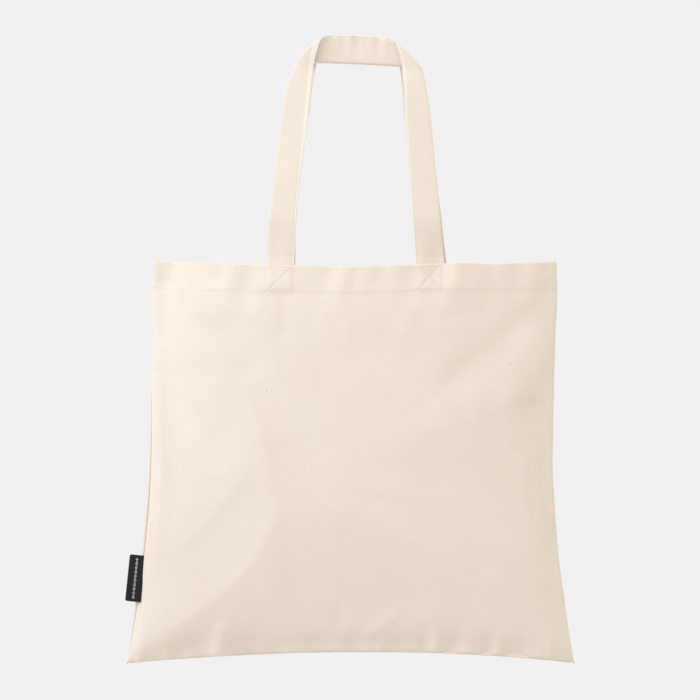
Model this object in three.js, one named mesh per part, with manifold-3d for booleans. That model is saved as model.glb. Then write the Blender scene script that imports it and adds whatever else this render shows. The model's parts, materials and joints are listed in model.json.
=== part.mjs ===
// Canvas tote bag in millimetres, +Z up, front face towards -Y.
// Two canvas panels are sewn together at the sides and the bottom. The mouth has a turned hem.
// Two flat handles are sewn inside the hem, and each folds over itself at its two top corners.
// The origin is the point that the bag hangs from, under the middle of the handles' top bands.
import * as THREE from 'three'
import { mergeVertices } from 'three/addons/utils/BufferGeometryUtils.js'
import Module from 'manifold-3d'

const wasm = await Module()
wasm.setup()

// Body
const BOTTOM_HALF_WIDTH = 205
const WAIST_HALF_WIDTH = 184.5
const WAIST_UP = 0.6
const HALF_DEPTH = 44
const MOUTH_HALF_DEPTH = 40
const FULL_DEPTH_UP = 0.3
const SECTION_POWER = 3
const BOTTOM_POWER = 2.3
const FLARE_POWER = 1.9
const BOTTOM_BOW_POWER = 2.4
const CORNER_RISE_POWER = 24
const SEAM_CROWDING = 0.6
const RIM_Z = -185
const CORNER_Z = -551.5
const BOTTOM_BOW = 10
const CORNER_RISE = 4
const SIDEWAYS_LEAN = 0.0105

// Cloth and sewing
const CLOTH = 0.8
const GAP = 0.4
const HEM_DEPTH = 24
const HEM_LAYERS = 2 * CLOTH
const ALLOWANCE_WIDTH = 12
const ALLOWANCE_LAYERS = 2 * CLOTH
const ALLOWANCE_GAP = 1.8
const SEAM_ROLL = 14
const SEAM_ROLL_TOP = 0.72
const THREAD = 0.6

// Handles
const STRAP_WIDTH = 25
const STRAP_THICKNESS = 2.4
const FOLD_GAP = 0.8
const LEG_FOOT_X = 68.4
const LEG_HEAD_X = 50.4
const FOOT_CLEARANCE = 2.2
const BAND_HALF_FLAT = 46
const BAND_TOP_HALF = 30.5
const FOLD_OUTER = { x: 60.5, below: 6 }
const FOLD_INNER = { x: 37, above: 19.5 }
const SHOULDER_BELOW = 50
const BACK_STRAP_SHIFT = 1.5
const STRAP_END_ABOVE_RIM = 1

// Side label
const LABEL_HEIGHT = 43
const LABEL_REACH = 11.5
const LABEL_CLEARANCE = 1.6
const LABEL_LEAF = 0.5
const LABEL_UP = 0.2
const LABEL_ROOT = 8

const canvas = new THREE.MeshStandardMaterial({ color: 0xf0e3cf, roughness: 0.95, metalness: 0 })
const strapCanvas = new THREE.MeshStandardMaterial({ color: 0xeadbc4, roughness: 0.95, metalness: 0 })
const thread = new THREE.MeshStandardMaterial({ color: 0xf5ecdd, roughness: 0.8, metalness: 0 })
const labelTape = new THREE.MeshStandardMaterial({ color: 0x121316, roughness: 0.7, metalness: 0 })

// The whole bag hangs slightly askew: each level is shifted sideways in proportion to its height.
const bag = new THREE.Group()
bag.matrixAutoUpdate = false
bag.matrix.set(1, 0, SIDEWAYS_LEAN, 0, 0, 1, 0, 0, 0, 0, 1, 0, 0, 0, 0, 1)

function addPiece(name, geometry, material) {
  const mesh = new THREE.Mesh(geometry, material)
  mesh.name = name
  bag.add(mesh)
  return mesh
}

// ---------------------------------------------------------------- body surface

function clamp01(value) {
  return Math.min(1, Math.max(0, value))
}

function quarterRound(fraction, power) {
  return Math.pow(1 - Math.pow(1 - clamp01(fraction), power), 1 / power)
}

function halfWidthAt(up) {
  const flare = Math.pow(1 - clamp01(up / WAIST_UP), FLARE_POWER)
  return WAIST_HALF_WIDTH + (BOTTOM_HALF_WIDTH - WAIST_HALF_WIDTH) * flare
}

function halfDepthAt(up) {
  const taper = clamp01((up - FULL_DEPTH_UP) / (1 - FULL_DEPTH_UP))
  const depth = HALF_DEPTH + (MOUTH_HALF_DEPTH - HALF_DEPTH) * taper
  return depth * quarterRound(up / FULL_DEPTH_UP, BOTTOM_POWER)
}

function seamRollAt(up) {
  return SEAM_ROLL * Math.sin(Math.PI * clamp01(up / SEAM_ROLL_TOP))
}

function signedPower(value, power) {
  return Math.sign(value) * Math.pow(Math.abs(value), power)
}

// One level of the body: a rounded loop that starts at the left extreme and runs over the front.
function sectionLoop(halfWidth, halfDepth) {
  const steps = 96
  const points = []
  for (let i = 0; i <= steps; i++) {
    const angle = Math.PI + (2 * Math.PI * i) / steps
    const x = halfWidth * signedPower(Math.cos(angle), 2 / SECTION_POWER)
    const y = halfDepth * signedPower(Math.sin(angle), 2 / SECTION_POWER)
    points.push(new THREE.Vector2(x, y))
  }
  return new THREE.SplineCurve(points)
}

function rimZ(x) {
  const nearCorner = clamp01(Math.abs(x) / WAIST_HALF_WIDTH)
  return RIM_Z + CORNER_RISE * Math.pow(nearCorner, CORNER_RISE_POWER)
}

function bottomZ(x) {
  const outwards = clamp01(Math.abs(x) / BOTTOM_HALF_WIDTH)
  return CORNER_Z + BOTTOM_BOW * (1 - Math.pow(outwards, BOTTOM_BOW_POWER))
}

// A row of points on the body at one level, at a distance inside its outer face.
// span(up) gives the stretch of the loop in millimetres from the left extreme.
// The points stand closer together near both ends of the stretch, where the body curves most.
function surfaceRow(up, inset, span, columns) {
  const halfWidth = halfWidthAt(up) - inset
  const halfDepth = halfDepthAt(up) * (1 - inset / HALF_DEPTH)
  const loop = sectionLoop(halfWidth, halfDepth)
  const length = loop.getLength()
  const [from, to] = span(up, length)
  const row = []
  for (let i = 0; i <= columns; i++) {
    const even = i / columns
    const eased = even - (SEAM_CROWDING * Math.sin(2 * Math.PI * even)) / (2 * Math.PI)
    const along = (from + (to - from) * eased) / length
    const point = loop.getPointAt(((along % 1) + 1) % 1)
    const low = bottomZ(point.x) + inset * (1 - up)
    const z = low + up * (rimZ(point.x) - low)
    row.push(new THREE.Vector3(point.x, point.y, z))
  }
  return row
}

// A closed sheet between two insets of the body surface.
function sheetSolid({ span, upList, outer, inner, columns, side }) {
  const positions = []
  for (const inset of [outer, inner]) {
    for (const up of upList) {
      for (const point of surfaceRow(up, inset, span, columns)) {
        positions.push(point.x, point.y + (side * GAP) / 2, point.z)
      }
    }
  }
  const width = columns + 1
  const rows = upList.length
  const at = (face, row, column) => face * rows * width + row * width + column
  const index = []
  const quad = (a, b, c, d) => index.push(a, b, c, a, c, d)
  for (let row = 0; row + 1 < rows; row++) {
    for (let column = 0; column < columns; column++) {
      const next = column + 1
      quad(at(0, row, column), at(0, row, next), at(0, row + 1, next), at(0, row + 1, column))
      quad(at(1, row, column), at(1, row + 1, column), at(1, row + 1, next), at(1, row, next))
    }
    quad(at(0, row, 0), at(0, row + 1, 0), at(1, row + 1, 0), at(1, row, 0))
    quad(at(0, row, columns), at(1, row, columns), at(1, row + 1, columns), at(0, row + 1, columns))
  }
  const top = rows - 1
  for (let column = 0; column < columns; column++) {
    const next = column + 1
    quad(at(0, 0, column), at(1, 0, column), at(1, 0, next), at(0, 0, next))
    quad(at(0, top, column), at(0, top, next), at(1, top, next), at(1, top, column))
  }
  const geometry = new THREE.BufferGeometry()
  geometry.setAttribute('position', new THREE.Float32BufferAttribute(positions, 3))
  geometry.setIndex(index)
  geometry.computeVertexNormals()
  return geometry
}

const FRONT = -1
const BACK = 1
const BODY_HEIGHT = RIM_Z - CORNER_Z - BOTTOM_BOW
const HEM_UP = 1 - HEM_DEPTH / BODY_HEIGHT

function panelSpan(side) {
  return (up, length) => {
    const start = seamRollAt(up) + (side === FRONT ? 0 : length / 2)
    return [start, start + length / 2]
  }
}

function upSteps(from, to, count, power = 1) {
  return Array.from({ length: count + 1 }, (_, i) => from + (to - from) * Math.pow(i / count, power))
}

function addPanel(name, side) {
  const geometry = sheetSolid({
    span: panelSpan(side),
    upList: [...upSteps(0, HEM_UP, 15, 1.5), 1],
    outer: 0,
    inner: CLOTH,
    columns: 24,
    side,
  })
  addPiece(name, geometry, canvas)
}

function addHem(name, side) {
  const outer = CLOTH + GAP
  const geometry = sheetSolid({
    span: panelSpan(side),
    upList: [HEM_UP, 1],
    outer,
    inner: outer + HEM_LAYERS,
    columns: 24,
    side,
  })
  addPiece(name, geometry, canvas)
}

function addHemStitching(name, side) {
  const middle = HEM_UP + 1 / BODY_HEIGHT
  const halfThread = THREAD / 2 / BODY_HEIGHT
  const geometry = sheetSolid({
    span: panelSpan(side),
    upList: [middle - halfThread, middle + halfThread],
    outer: -GAP - THREAD,
    inner: -GAP,
    columns: 24,
    side,
  })
  addPiece(name, geometry, thread)
}

// The seam allowances are pressed flat against the inside of the front panel.
function addAllowance(name, span, upList, columns) {
  const outer = CLOTH + ALLOWANCE_GAP
  const inner = outer + ALLOWANCE_LAYERS
  addPiece(name, sheetSolid({ span, upList, outer, inner, columns, side: FRONT }), canvas)
}

function leftAllowanceSpan(up) {
  return [seamRollAt(up) + 1, seamRollAt(up) + 1 + ALLOWANCE_WIDTH]
}

function rightAllowanceSpan(up, length) {
  const seam = seamRollAt(up) + length / 2
  return [seam - 1 - ALLOWANCE_WIDTH, seam - 1]
}

function bottomAllowanceSpan(up, length) {
  const clear = 2 * ALLOWANCE_WIDTH
  return [seamRollAt(up) + clear, seamRollAt(up) + length / 2 - clear]
}

// ---------------------------------------------------------------- handles

const HEM_STACK = CLOTH + GAP + HEM_LAYERS + GAP
const STRAP_OUTER_X = LEG_FOOT_X + STRAP_WIDTH / 2
const BELOW_MOUTH = Math.pow(1 - Math.pow(STRAP_OUTER_X / WAIST_HALF_WIDTH, SECTION_POWER), 1 / SECTION_POWER)
const STRAP_ROOT_Y = MOUTH_HALF_DEPTH * BELOW_MOUTH - HEM_STACK
const STACK = 2 * STRAP_THICKNESS + FOLD_GAP
const STRAP_RISE = -RIM_Z - FOOT_CLEARANCE
const STRAP_LEAN = Math.asin((STRAP_ROOT_Y - STACK - 2 * GAP) / (STRAP_RISE + STRAP_WIDTH))
const BAND_LOW = (STRAP_RISE + STACK * Math.sin(STRAP_LEAN)) / Math.cos(STRAP_LEAN)

function manifoldOf(geometry) {
  geometry.deleteAttribute('normal')
  geometry.deleteAttribute('uv')
  const merged = mergeVertices(geometry, 1e-4)
  return new wasm.Manifold(
    new wasm.Mesh({
      numProp: 3,
      vertProperties: new Float32Array(merged.attributes.position.array),
      triVerts: new Uint32Array(merged.index.array),
    }),
  )
}

function geometryOf(solid) {
  const mesh = solid.getMesh()
  const geometry = new THREE.BufferGeometry()
  geometry.setAttribute('position', new THREE.BufferAttribute(new Float32Array(mesh.vertProperties), 3))
  geometry.setIndex(new THREE.BufferAttribute(new Uint32Array(mesh.triVerts), 1))
  geometry.computeVertexNormals()
  return geometry
}

// A flat plate from an outline in (x, height), lying between two depths behind the strap's front face.
function plate(outline, near, far) {
  const shape = new THREE.Shape(outline.map(([x, height]) => new THREE.Vector2(x, height)))
  const geometry = new THREE.ExtrudeGeometry(shape, { depth: far - near, bevelEnabled: false })
  geometry.rotateX(Math.PI / 2)
  geometry.translate(0, far, 0)
  return geometry
}

function foldCorners(side) {
  const outer = new THREE.Vector3(side * FOLD_OUTER.x, 0, BAND_LOW - FOLD_OUTER.below)
  const inner = new THREE.Vector3(side * FOLD_INNER.x, 0, BAND_LOW + FOLD_INNER.above)
  return { outer, inner }
}

function legOutline(side) {
  const { outer, inner } = foldCorners(side)
  const shoulder = BAND_LOW - SHOULDER_BELOW
  const shoulderX = LEG_FOOT_X + ((LEG_HEAD_X - LEG_FOOT_X) * shoulder) / inner.z + STRAP_WIDTH / 2
  const points = [
    [side * (LEG_FOOT_X - STRAP_WIDTH / 2), 0],
    [side * (LEG_FOOT_X + STRAP_WIDTH / 2), 0],
    [side * shoulderX, shoulder],
    [outer.x, outer.z],
    [inner.x, inner.z],
  ]
  return side > 0 ? points : points.reverse()
}

function bandOutline() {
  const right = foldCorners(1)
  const top = BAND_LOW + STRAP_WIDTH
  return [
    [-BAND_HALF_FLAT, BAND_LOW],
    [BAND_HALF_FLAT, BAND_LOW],
    [right.outer.x, right.outer.z],
    [right.inner.x, right.inner.z],
    [BAND_TOP_HALF, top],
    [-BAND_TOP_HALF, top],
    [-right.inner.x, right.inner.z],
    [-right.outer.x, right.outer.z],
  ]
}

// The turn of the cloth along a top corner's diagonal: half a ring that joins leg and band.
function foldTurn(side) {
  const { outer, inner } = foldCorners(side)
  const radius = STACK / 2
  const hollow = FOLD_GAP / 2
  const overlap = 1
  const ring = new THREE.Shape()
  ring.moveTo(-overlap, -radius)
  ring.lineTo(0, -radius)
  ring.absarc(0, 0, radius, -Math.PI / 2, Math.PI / 2, false)
  ring.lineTo(-overlap, radius)
  ring.lineTo(-overlap, hollow)
  ring.lineTo(0, hollow)
  ring.absarc(0, 0, hollow, Math.PI / 2, -Math.PI / 2, true)
  ring.lineTo(-overlap, -hollow)
  const length = outer.distanceTo(inner)
  const geometry = new THREE.ExtrudeGeometry(ring, { depth: length, bevelEnabled: false, curveSegments: 8 })
  const start = side > 0 ? outer : inner
  const end = side > 0 ? inner : outer
  const along = end.clone().sub(start).normalize()
  const across = new THREE.Vector3(0, 1, 0)
  const away = across.clone().cross(along)
  const place = new THREE.Matrix4().makeBasis(away, across, along)
  place.setPosition(start.x, radius, start.z)
  return geometry.applyMatrix4(place)
}

function strapGeometry() {
  let strap = manifoldOf(plate(bandOutline(), STRAP_THICKNESS + FOLD_GAP, STACK))
  for (const side of [-1, 1]) {
    strap = strap.add(manifoldOf(plate(legOutline(side), 0, STRAP_THICKNESS)))
    strap = strap.add(manifoldOf(foldTurn(side)))
  }
  return geometryOf(strap)
}

// A handle leans inwards from its foot, just above the rim, until it nearly meets the other one.
function addStrap(name, side) {
  const mesh = addPiece(name, strapGeometry(), strapCanvas)
  const turned = side === FRONT ? 0 : Math.PI
  mesh.rotation.set(-STRAP_LEAN, 0, turned, 'ZXY')
  mesh.position.set(strapShift(side), side * STRAP_ROOT_Y, RIM_Z + FOOT_CLEARANCE)
}

// The back handle is sewn a little further to the right than the front one.
function strapShift(side) {
  return side === FRONT ? 0 : BACK_STRAP_SHIFT
}

function addStrapEnd(name, side, hand) {
  const height = HEM_DEPTH + STRAP_END_ABOVE_RIM
  const geometry = new THREE.BoxGeometry(STRAP_WIDTH, STRAP_THICKNESS, height)
  const mesh = addPiece(name, geometry, strapCanvas)
  const y = side * (STRAP_ROOT_Y - STRAP_THICKNESS / 2)
  mesh.position.set(hand * LEG_FOOT_X + strapShift(side), y, RIM_Z + STRAP_END_ABOVE_RIM - height / 2)
}

// A square of stitching with both diagonals, as wide as the strap and as high as the hem.
function boxStitchShape() {
  const half = STRAP_WIDTH / 2 - 1
  const inside = half - THREAD
  const notch = THREAD * Math.SQRT1_2
  const shape = new THREE.Shape()
  shape.moveTo(-half, -half)
  shape.lineTo(half, -half)
  shape.lineTo(half, half)
  shape.lineTo(-half, half)
  for (let quarter = 0; quarter < 4; quarter++) {
    const corners = [[notch, 0], [inside, inside - notch], [inside, notch - inside]]
    const turn = (quarter * Math.PI) / 2
    const hole = corners.map(([x, y]) => new THREE.Vector2(x, y).rotateAround(new THREE.Vector2(), turn))
    shape.holes.push(new THREE.Path(hole))
  }
  return shape
}

function addBoxStitching(name, side, hand) {
  const geometry = new THREE.ExtrudeGeometry(boxStitchShape(), { depth: THREAD, bevelEnabled: false })
  geometry.rotateX(Math.PI / 2)
  const mesh = addPiece(name, geometry, thread)
  const face = halfDepthAt(HEM_UP) + GAP / 2 + 2 * GAP + THREAD
  const y = side === FRONT ? -face + THREAD : face
  mesh.position.set(hand * LEG_FOOT_X + strapShift(side), y, RIM_Z - HEM_DEPTH / 2)
}

// ---------------------------------------------------------------- side label

// A tape folded in two: both leaves start at the seam, and the turn is at the outer end.
function labelShape(reach) {
  const radius = LABEL_LEAF + GAP / 2
  const hollow = GAP / 2
  const turn = -reach + radius
  const shape = new THREE.Shape()
  shape.moveTo(0, -radius)
  shape.lineTo(0, -hollow)
  shape.lineTo(turn, -hollow)
  shape.absarc(turn, 0, hollow, -Math.PI / 2, Math.PI / 2, true)
  shape.lineTo(0, hollow)
  shape.lineTo(0, radius)
  shape.lineTo(turn, radius)
  shape.absarc(turn, 0, radius, Math.PI / 2, -Math.PI / 2, false)
  return shape
}

function seamPoint(up, inset) {
  const span = (level) => [seamRollAt(level), seamRollAt(level) + 1]
  return surfaceRow(up, inset, span, 1)[0]
}

function addLabel() {
  const nearby = LABEL_HEIGHT / 2 / BODY_HEIGHT
  const seam = seamPoint(LABEL_UP, -GAP)
  const slope = seamPoint(LABEL_UP + nearby, -GAP).sub(seamPoint(LABEL_UP - nearby, -GAP))
  const tilt = Math.atan2(slope.x, slope.z)
  const settings = { depth: LABEL_HEIGHT, bevelEnabled: false, curveSegments: 6 }
  const tape = new THREE.ExtrudeGeometry(labelShape(LABEL_REACH), settings)
  tape.translate(0, 0, -LABEL_HEIGHT / 2)
  const label = addPiece('side_label', tape, labelTape)
  label.rotation.y = tilt
  label.position.copy(seam)
  label.position.x -= LABEL_CLEARANCE

  const rootTape = new THREE.BoxGeometry(LABEL_ROOT, 2 * LABEL_LEAF, LABEL_HEIGHT)
  const root = addPiece('side_label_root', rootTape, labelTape)
  root.rotation.y = tilt
  const inside = seamPoint(LABEL_UP, CLOTH + 2 * GAP)
  root.position.set(inside.x + LABEL_ROOT / 2 + 2 * GAP, inside.y + 3 * ALLOWANCE_LAYERS, inside.z)
}

// ---------------------------------------------------------------- assembly

addPanel('front_panel', FRONT)
addPanel('back_panel', BACK)
addHem('front_hem', FRONT)
addHem('back_hem', BACK)
addHemStitching('front_hem_stitching', FRONT)
addHemStitching('back_hem_stitching', BACK)
const sideUps = upSteps(0.06, HEM_UP - 0.02, 16)
addAllowance('left_seam_allowance', leftAllowanceSpan, sideUps, 3)
addAllowance('right_seam_allowance', rightAllowanceSpan, sideUps, 3)
addAllowance('bottom_seam_allowance', bottomAllowanceSpan, upSteps(0.001, 0.03, 3, 1.5), 20)
for (const [sideName, side] of [['front', FRONT], ['back', BACK]]) {
  addStrap(`${sideName}_strap`, side)
  for (const [handName, hand] of [['left', -1], ['right', 1]]) {
    addStrapEnd(`${sideName}_${handName}_strap_end`, side, hand)
    addBoxStitching(`${sideName}_${handName}_box_stitching`, side, hand)
  }
}
addLabel()

export default bag
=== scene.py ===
"""Looks for the canvas tote bag: sewn canvas body, folded handles, stitching and a woven side label."""

import json
import math

import bpy
import numpy as np
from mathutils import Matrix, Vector


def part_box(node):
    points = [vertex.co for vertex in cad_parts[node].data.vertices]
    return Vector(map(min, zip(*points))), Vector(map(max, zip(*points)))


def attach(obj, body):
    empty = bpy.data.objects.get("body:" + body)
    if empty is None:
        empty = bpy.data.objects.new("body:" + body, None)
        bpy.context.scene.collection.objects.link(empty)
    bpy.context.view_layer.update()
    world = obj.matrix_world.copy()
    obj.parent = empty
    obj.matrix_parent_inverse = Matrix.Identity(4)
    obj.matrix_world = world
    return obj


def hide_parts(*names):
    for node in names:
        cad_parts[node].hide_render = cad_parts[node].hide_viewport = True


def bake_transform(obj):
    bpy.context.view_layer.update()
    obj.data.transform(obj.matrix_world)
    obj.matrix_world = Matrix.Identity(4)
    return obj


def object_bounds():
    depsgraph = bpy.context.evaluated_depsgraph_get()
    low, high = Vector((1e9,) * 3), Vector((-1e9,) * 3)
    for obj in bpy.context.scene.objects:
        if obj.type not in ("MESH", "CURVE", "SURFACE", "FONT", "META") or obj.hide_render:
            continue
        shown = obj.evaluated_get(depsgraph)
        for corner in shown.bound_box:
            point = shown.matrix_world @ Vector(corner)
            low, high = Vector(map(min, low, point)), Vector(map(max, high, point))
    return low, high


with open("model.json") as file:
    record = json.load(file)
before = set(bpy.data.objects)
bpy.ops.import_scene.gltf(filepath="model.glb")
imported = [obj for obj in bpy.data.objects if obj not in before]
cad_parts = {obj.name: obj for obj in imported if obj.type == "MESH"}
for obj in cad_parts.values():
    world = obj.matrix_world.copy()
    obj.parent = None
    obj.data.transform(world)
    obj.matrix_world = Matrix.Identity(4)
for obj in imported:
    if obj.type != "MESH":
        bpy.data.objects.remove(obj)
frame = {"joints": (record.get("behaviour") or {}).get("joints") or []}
CAD_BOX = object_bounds()
MM = 0.001

# ------------------------------------------------------------------ sizes, from the frame

PANEL_LOW, PANEL_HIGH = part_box("front_panel")
JOINTS = {j["name"]: j for j in frame["joints"]}
CORNER_Z = PANEL_LOW.z
RIM_Z = JOINTS["front_handle_swing"]["pos_m"][2]
SIDEWAYS_LEAN = (PANEL_LOW.x + PANEL_HIGH.x) / 2 / CORNER_Z
BOTTOM_HALF = (PANEL_HIGH.x - PANEL_LOW.x) / 2
WAIST_HALF = 0.9 * BOTTOM_HALF

# Flat cloth and sewing.
FLAT_WIDTH = 2 * BOTTOM_HALF
FLAT_HEIGHT = 375 * MM
CLOTH = 0.8 * MM
HEM_DEPTH = 25.4 * MM
HEM_ROUND = 1.2 * MM
STITCH_DOWN = 24.2 * MM
STITCH_LENGTH = 2.7 * MM
STITCH_GAP = 0.45 * MM
THREAD_RADIUS = 0.24 * MM
ALLOWANCE_WIDTH = 12 * MM
STRAP_WIDTH = 25 * MM
STRAP_THICKNESS = 2.4 * MM

# The body's outline. Heights are shares of the way from the bottom (0) to the rim (1).
EDGE_TURN = 1.3 * MM
WAIST_UP = 0.6
FLARE_POWER = 1.9
HEM_FLARE, HEM_FLARE_UP, HEM_FLARE_REACH = 1.8 * MM, 0.91, 0.06
BOTTOM_BOW = 10 * MM
BOTTOM_BOW_POWERS = {"left": 1.8, "right": 2.4}
SEAM_ROLL = 4.2 * MM
SEAM_ROLL_TOP = 0.72
SEAM_FORWARD = 10.5 * MM
SIDE_SHIFT, SIDE_SHIFT_TOP = 2.0 * MM, 0.8


# ------------------------------------------------------------------ camera, light and floor

VIEW_SPAN = 0.644
CAMERA_DISTANCE = 5.0
SENSOR = 36.0


def add_camera():
    low, high = CAD_BOX
    middle = (low + high) / 2
    data = bpy.data.cameras.new("camera")
    data.sensor_width = SENSOR
    data.lens = SENSOR * CAMERA_DISTANCE / VIEW_SPAN
    data.clip_end = 60
    camera = bpy.data.objects.new("camera", data)
    camera.location = (middle.x + 1.25 * MM, -CAMERA_DISTANCE, middle.z)
    camera.rotation_euler = (math.radians(90), 0, 0)
    bpy.context.scene.collection.objects.link(camera)
    bpy.context.scene.camera = camera
    return middle


def aim(obj, target):
    direction = Vector(target) - obj.location
    obj.rotation_euler = direction.to_track_quat("-Z", "Y").to_euler()


def add_area_light(name, location, target, size, power, colour=(1, 1, 1)):
    data = bpy.data.lights.new(name, "AREA")
    data.shape = "SQUARE"
    data.size = size
    data.energy = power
    data.color = colour
    light = bpy.data.objects.new(name, data)
    light.location = location
    aim(light, target)
    bpy.context.scene.collection.objects.link(light)


BACKDROP = 0.88
AMBIENT = 0.9


def add_world():
    world = bpy.data.worlds.new("studio")
    bpy.context.scene.world = world
    world.use_nodes = True
    nodes, links = world.node_tree.nodes, world.node_tree.links
    nodes.clear()
    output = nodes.new("ShaderNodeOutputWorld")
    mix = nodes.new("ShaderNodeMixShader")
    seen = nodes.new("ShaderNodeBackground")
    seen.inputs["Color"].default_value = (BACKDROP, BACKDROP, BACKDROP, 1)
    light = nodes.new("ShaderNodeBackground")
    light.inputs["Color"].default_value = (1.0, 0.985, 0.93, 1)
    light.inputs["Strength"].default_value = AMBIENT
    path = nodes.new("ShaderNodeLightPath")
    links.new(path.outputs["Is Camera Ray"], mix.inputs["Fac"])
    links.new(light.outputs[0], mix.inputs[1])
    links.new(seen.outputs[0], mix.inputs[2])
    links.new(mix.outputs[0], output.inputs["Surface"])


def add_floor(middle):
    """A pale round floor well below the hanging bag. It fades out towards its rim."""
    radius, drop, spokes = 3.0, 0.26, 96
    level = CAD_BOX[0].z - drop
    verts = [(middle.x, 0, level)]
    for spoke in range(spokes):
        angle = 2 * math.pi * spoke / spokes
        verts.append((middle.x + radius * math.cos(angle), radius * math.sin(angle), level))
    faces = [(0, 1 + s, 1 + (s + 1) % spokes) for s in range(spokes)]
    mesh = bpy.data.meshes.new("floor")
    mesh.from_pydata(verts, [], faces)
    floor = bpy.data.objects.new("floor", mesh)
    bpy.context.scene.collection.objects.link(floor)

    material = bpy.data.materials.new("floor_paper")
    material.use_nodes = True
    nodes, links = material.node_tree.nodes, material.node_tree.links
    shader = nodes["Principled BSDF"]
    shader.inputs["Base Color"].default_value = (0.7, 0.7, 0.7, 1)
    shader.inputs["Roughness"].default_value = 0.9
    place = nodes.new("ShaderNodeTexCoord")
    length = nodes.new("ShaderNodeVectorMath")
    length.operation = "LENGTH"
    fade = nodes.new("ShaderNodeMapRange")
    limits = {"From Min": 0.9, "From Max": radius * 0.97, "To Min": 1.0, "To Max": 0.0}
    for socket, value in limits.items():
        fade.inputs[socket].default_value = value
    fade.interpolation_type = "SMOOTHSTEP"
    links.new(place.outputs["Object"], length.inputs[0])
    links.new(length.outputs["Value"], fade.inputs["Value"])
    links.new(fade.outputs["Result"], shader.inputs["Alpha"])
    mesh.materials.append(material)


def add_studio():
    scene = bpy.context.scene
    scene.view_settings.view_transform = "Standard"
    scene.view_settings.look = "None"
    middle = add_camera()
    add_world()
    add_floor(middle)
    target = (middle.x, 0, middle.z)
    add_area_light("side", (-1.7, -0.55, 0.1), target, 0.8, 9, (0.82, 1.0, 1.28))
    add_area_light("top", (-0.25, -1.0, 1.5), target, 0.9, 12.5, (0.82, 1.0, 1.24))
    add_area_light("rear", (0.6, 2.6, 1.6), target, 2.0, 14, (1.0, 1.0, 1.0))
    add_area_light("low", (0.1, -1.5, -0.72), target, 0.9, 0.7, (1.0, 1.0, 1.0))


# ------------------------------------------------------------------ the body's surface


def clamped(value):
    return min(max(value, 0.0), 1.0)


def soft_step(value):
    t = clamped(value)
    return t * t * (3 - 2 * t)


def half_width(up):
    """Half the body's width at a height."""
    flare = (1 - clamped(up / WAIST_UP)) ** FLARE_POWER
    under_hem = HEM_FLARE * math.exp(-(((up - HEM_FLARE_UP) / HEM_FLARE_REACH) ** 2))
    return WAIST_HALF + (BOTTOM_HALF - WAIST_HALF) * flare + EDGE_TURN + under_hem


def blend_value(up, stops):
    """Smooth change of a size with height: stops are (up, value) pairs."""
    ups, values = zip(*stops)
    i = max(0, min(len(ups) - 2, int(np.searchsorted(ups, up)) - 1))
    return values[i] + (values[i + 1] - values[i]) * soft_step((up - ups[i]) / (ups[i + 1] - ups[i]))


FULLNESS = ((0, 37.5 * MM), (0.5, 39 * MM), (1, 37 * MM))
# How steeply each side of a panel rises from its seam: (up, slope). Sides are named as seen from the front.
SIDE_SLOPES = {
    "front": {
        "left": ((0, 0.42), (0.25, 0.33), (0.5, 0.315), (0.86, 0.33), (1, 0.26)),
        "right": ((0, 0.5), (0.5, 0.4), (1, 0.28)),
    },
    "back": {
        "left": ((0, 0.5), (0.5, 0.46), (1, 0.6)),
        "right": ((0, 0.5), (0.4, 0.38), (1, 0.6)),
    },
}
BOTTOM_TURN = 20 * MM
BOTTOM_SLOPE, BOTTOM_SLOPE_ABOVE = 0.3, 0.26
EDGE_DEPTH, EDGE_ROUNDING = 2.0 * MM, 1.6 * MM
SOFTNESS = 3.6


def side_rise(distance, slope):
    """Depth near a seam: a small rounded edge, then a steady slope."""
    return slope * distance + EDGE_DEPTH * (1 - np.exp(-distance / EDGE_ROUNDING))


def panel_depth(side, x, up):
    """How far a panel stands away from the middle plane: flat faces that blend into each other."""
    slopes = SIDE_SLOPES[side]
    half = half_width(up)
    height = up * (RIM_Z - CORNER_Z)
    low = min(height, BOTTOM_TURN) * BOTTOM_SLOPE + max(height - BOTTOM_TURN, 0) * BOTTOM_SLOPE_ABOVE
    faces = (
        side_rise(np.maximum(x + half, 0), blend_value(up, slopes["left"])),
        side_rise(np.maximum(half - x, 0), blend_value(up, slopes["right"])),
        np.full_like(x, low + 1e-5),
        np.full_like(x, blend_value(up, FULLNESS)),
    )
    total = sum(np.maximum(face, 1e-6) ** -SOFTNESS for face in faces)
    return total ** (-1 / SOFTNESS)


def seam_roll(up):
    """How far the side seams have rolled round the body: the left one forwards, the right one backwards."""
    return SEAM_ROLL * math.sin(math.pi * clamped(up / SEAM_ROLL_TOP))


HALF_STEPS = 420
ACROSS_STEPS = -np.cos(math.pi * np.arange(HALF_STEPS + 1) / HALF_STEPS)


def section_points(up, along):
    """Points of one level of the body. along is metres of flat cloth from the left seam, over the front."""
    half = half_width(up)
    x = half * ACROSS_STEPS
    front, back = -panel_depth("front", x, up), panel_depth("back", x, up)
    loop_x = np.r_[x, x[::-1][1:]]
    loop_y = np.r_[front, back[::-1][1:]]
    forward = seam_roll(up) / SEAM_ROLL * SEAM_FORWARD
    loop_y = loop_y - forward * np.clip(-loop_x / half, 0, 1) ** 4
    length = np.r_[0, np.cumsum(np.hypot(np.diff(loop_x), np.diff(loop_y)))]
    front_share = length[HALF_STEPS] / length[-1]
    place = np.interp(along, (0, FLAT_WIDTH, 2 * FLAT_WIDTH), (0, front_share, 1))
    place = (place + seam_roll(up) / length[-1]) % 1.0
    sideways = SIDE_SHIFT * math.sin(math.pi * clamped(up / SIDE_SHIFT_TOP))
    at = place * length[-1]
    return np.interp(at, length, loop_x) - sideways, np.interp(at, length, loop_y)


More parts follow.
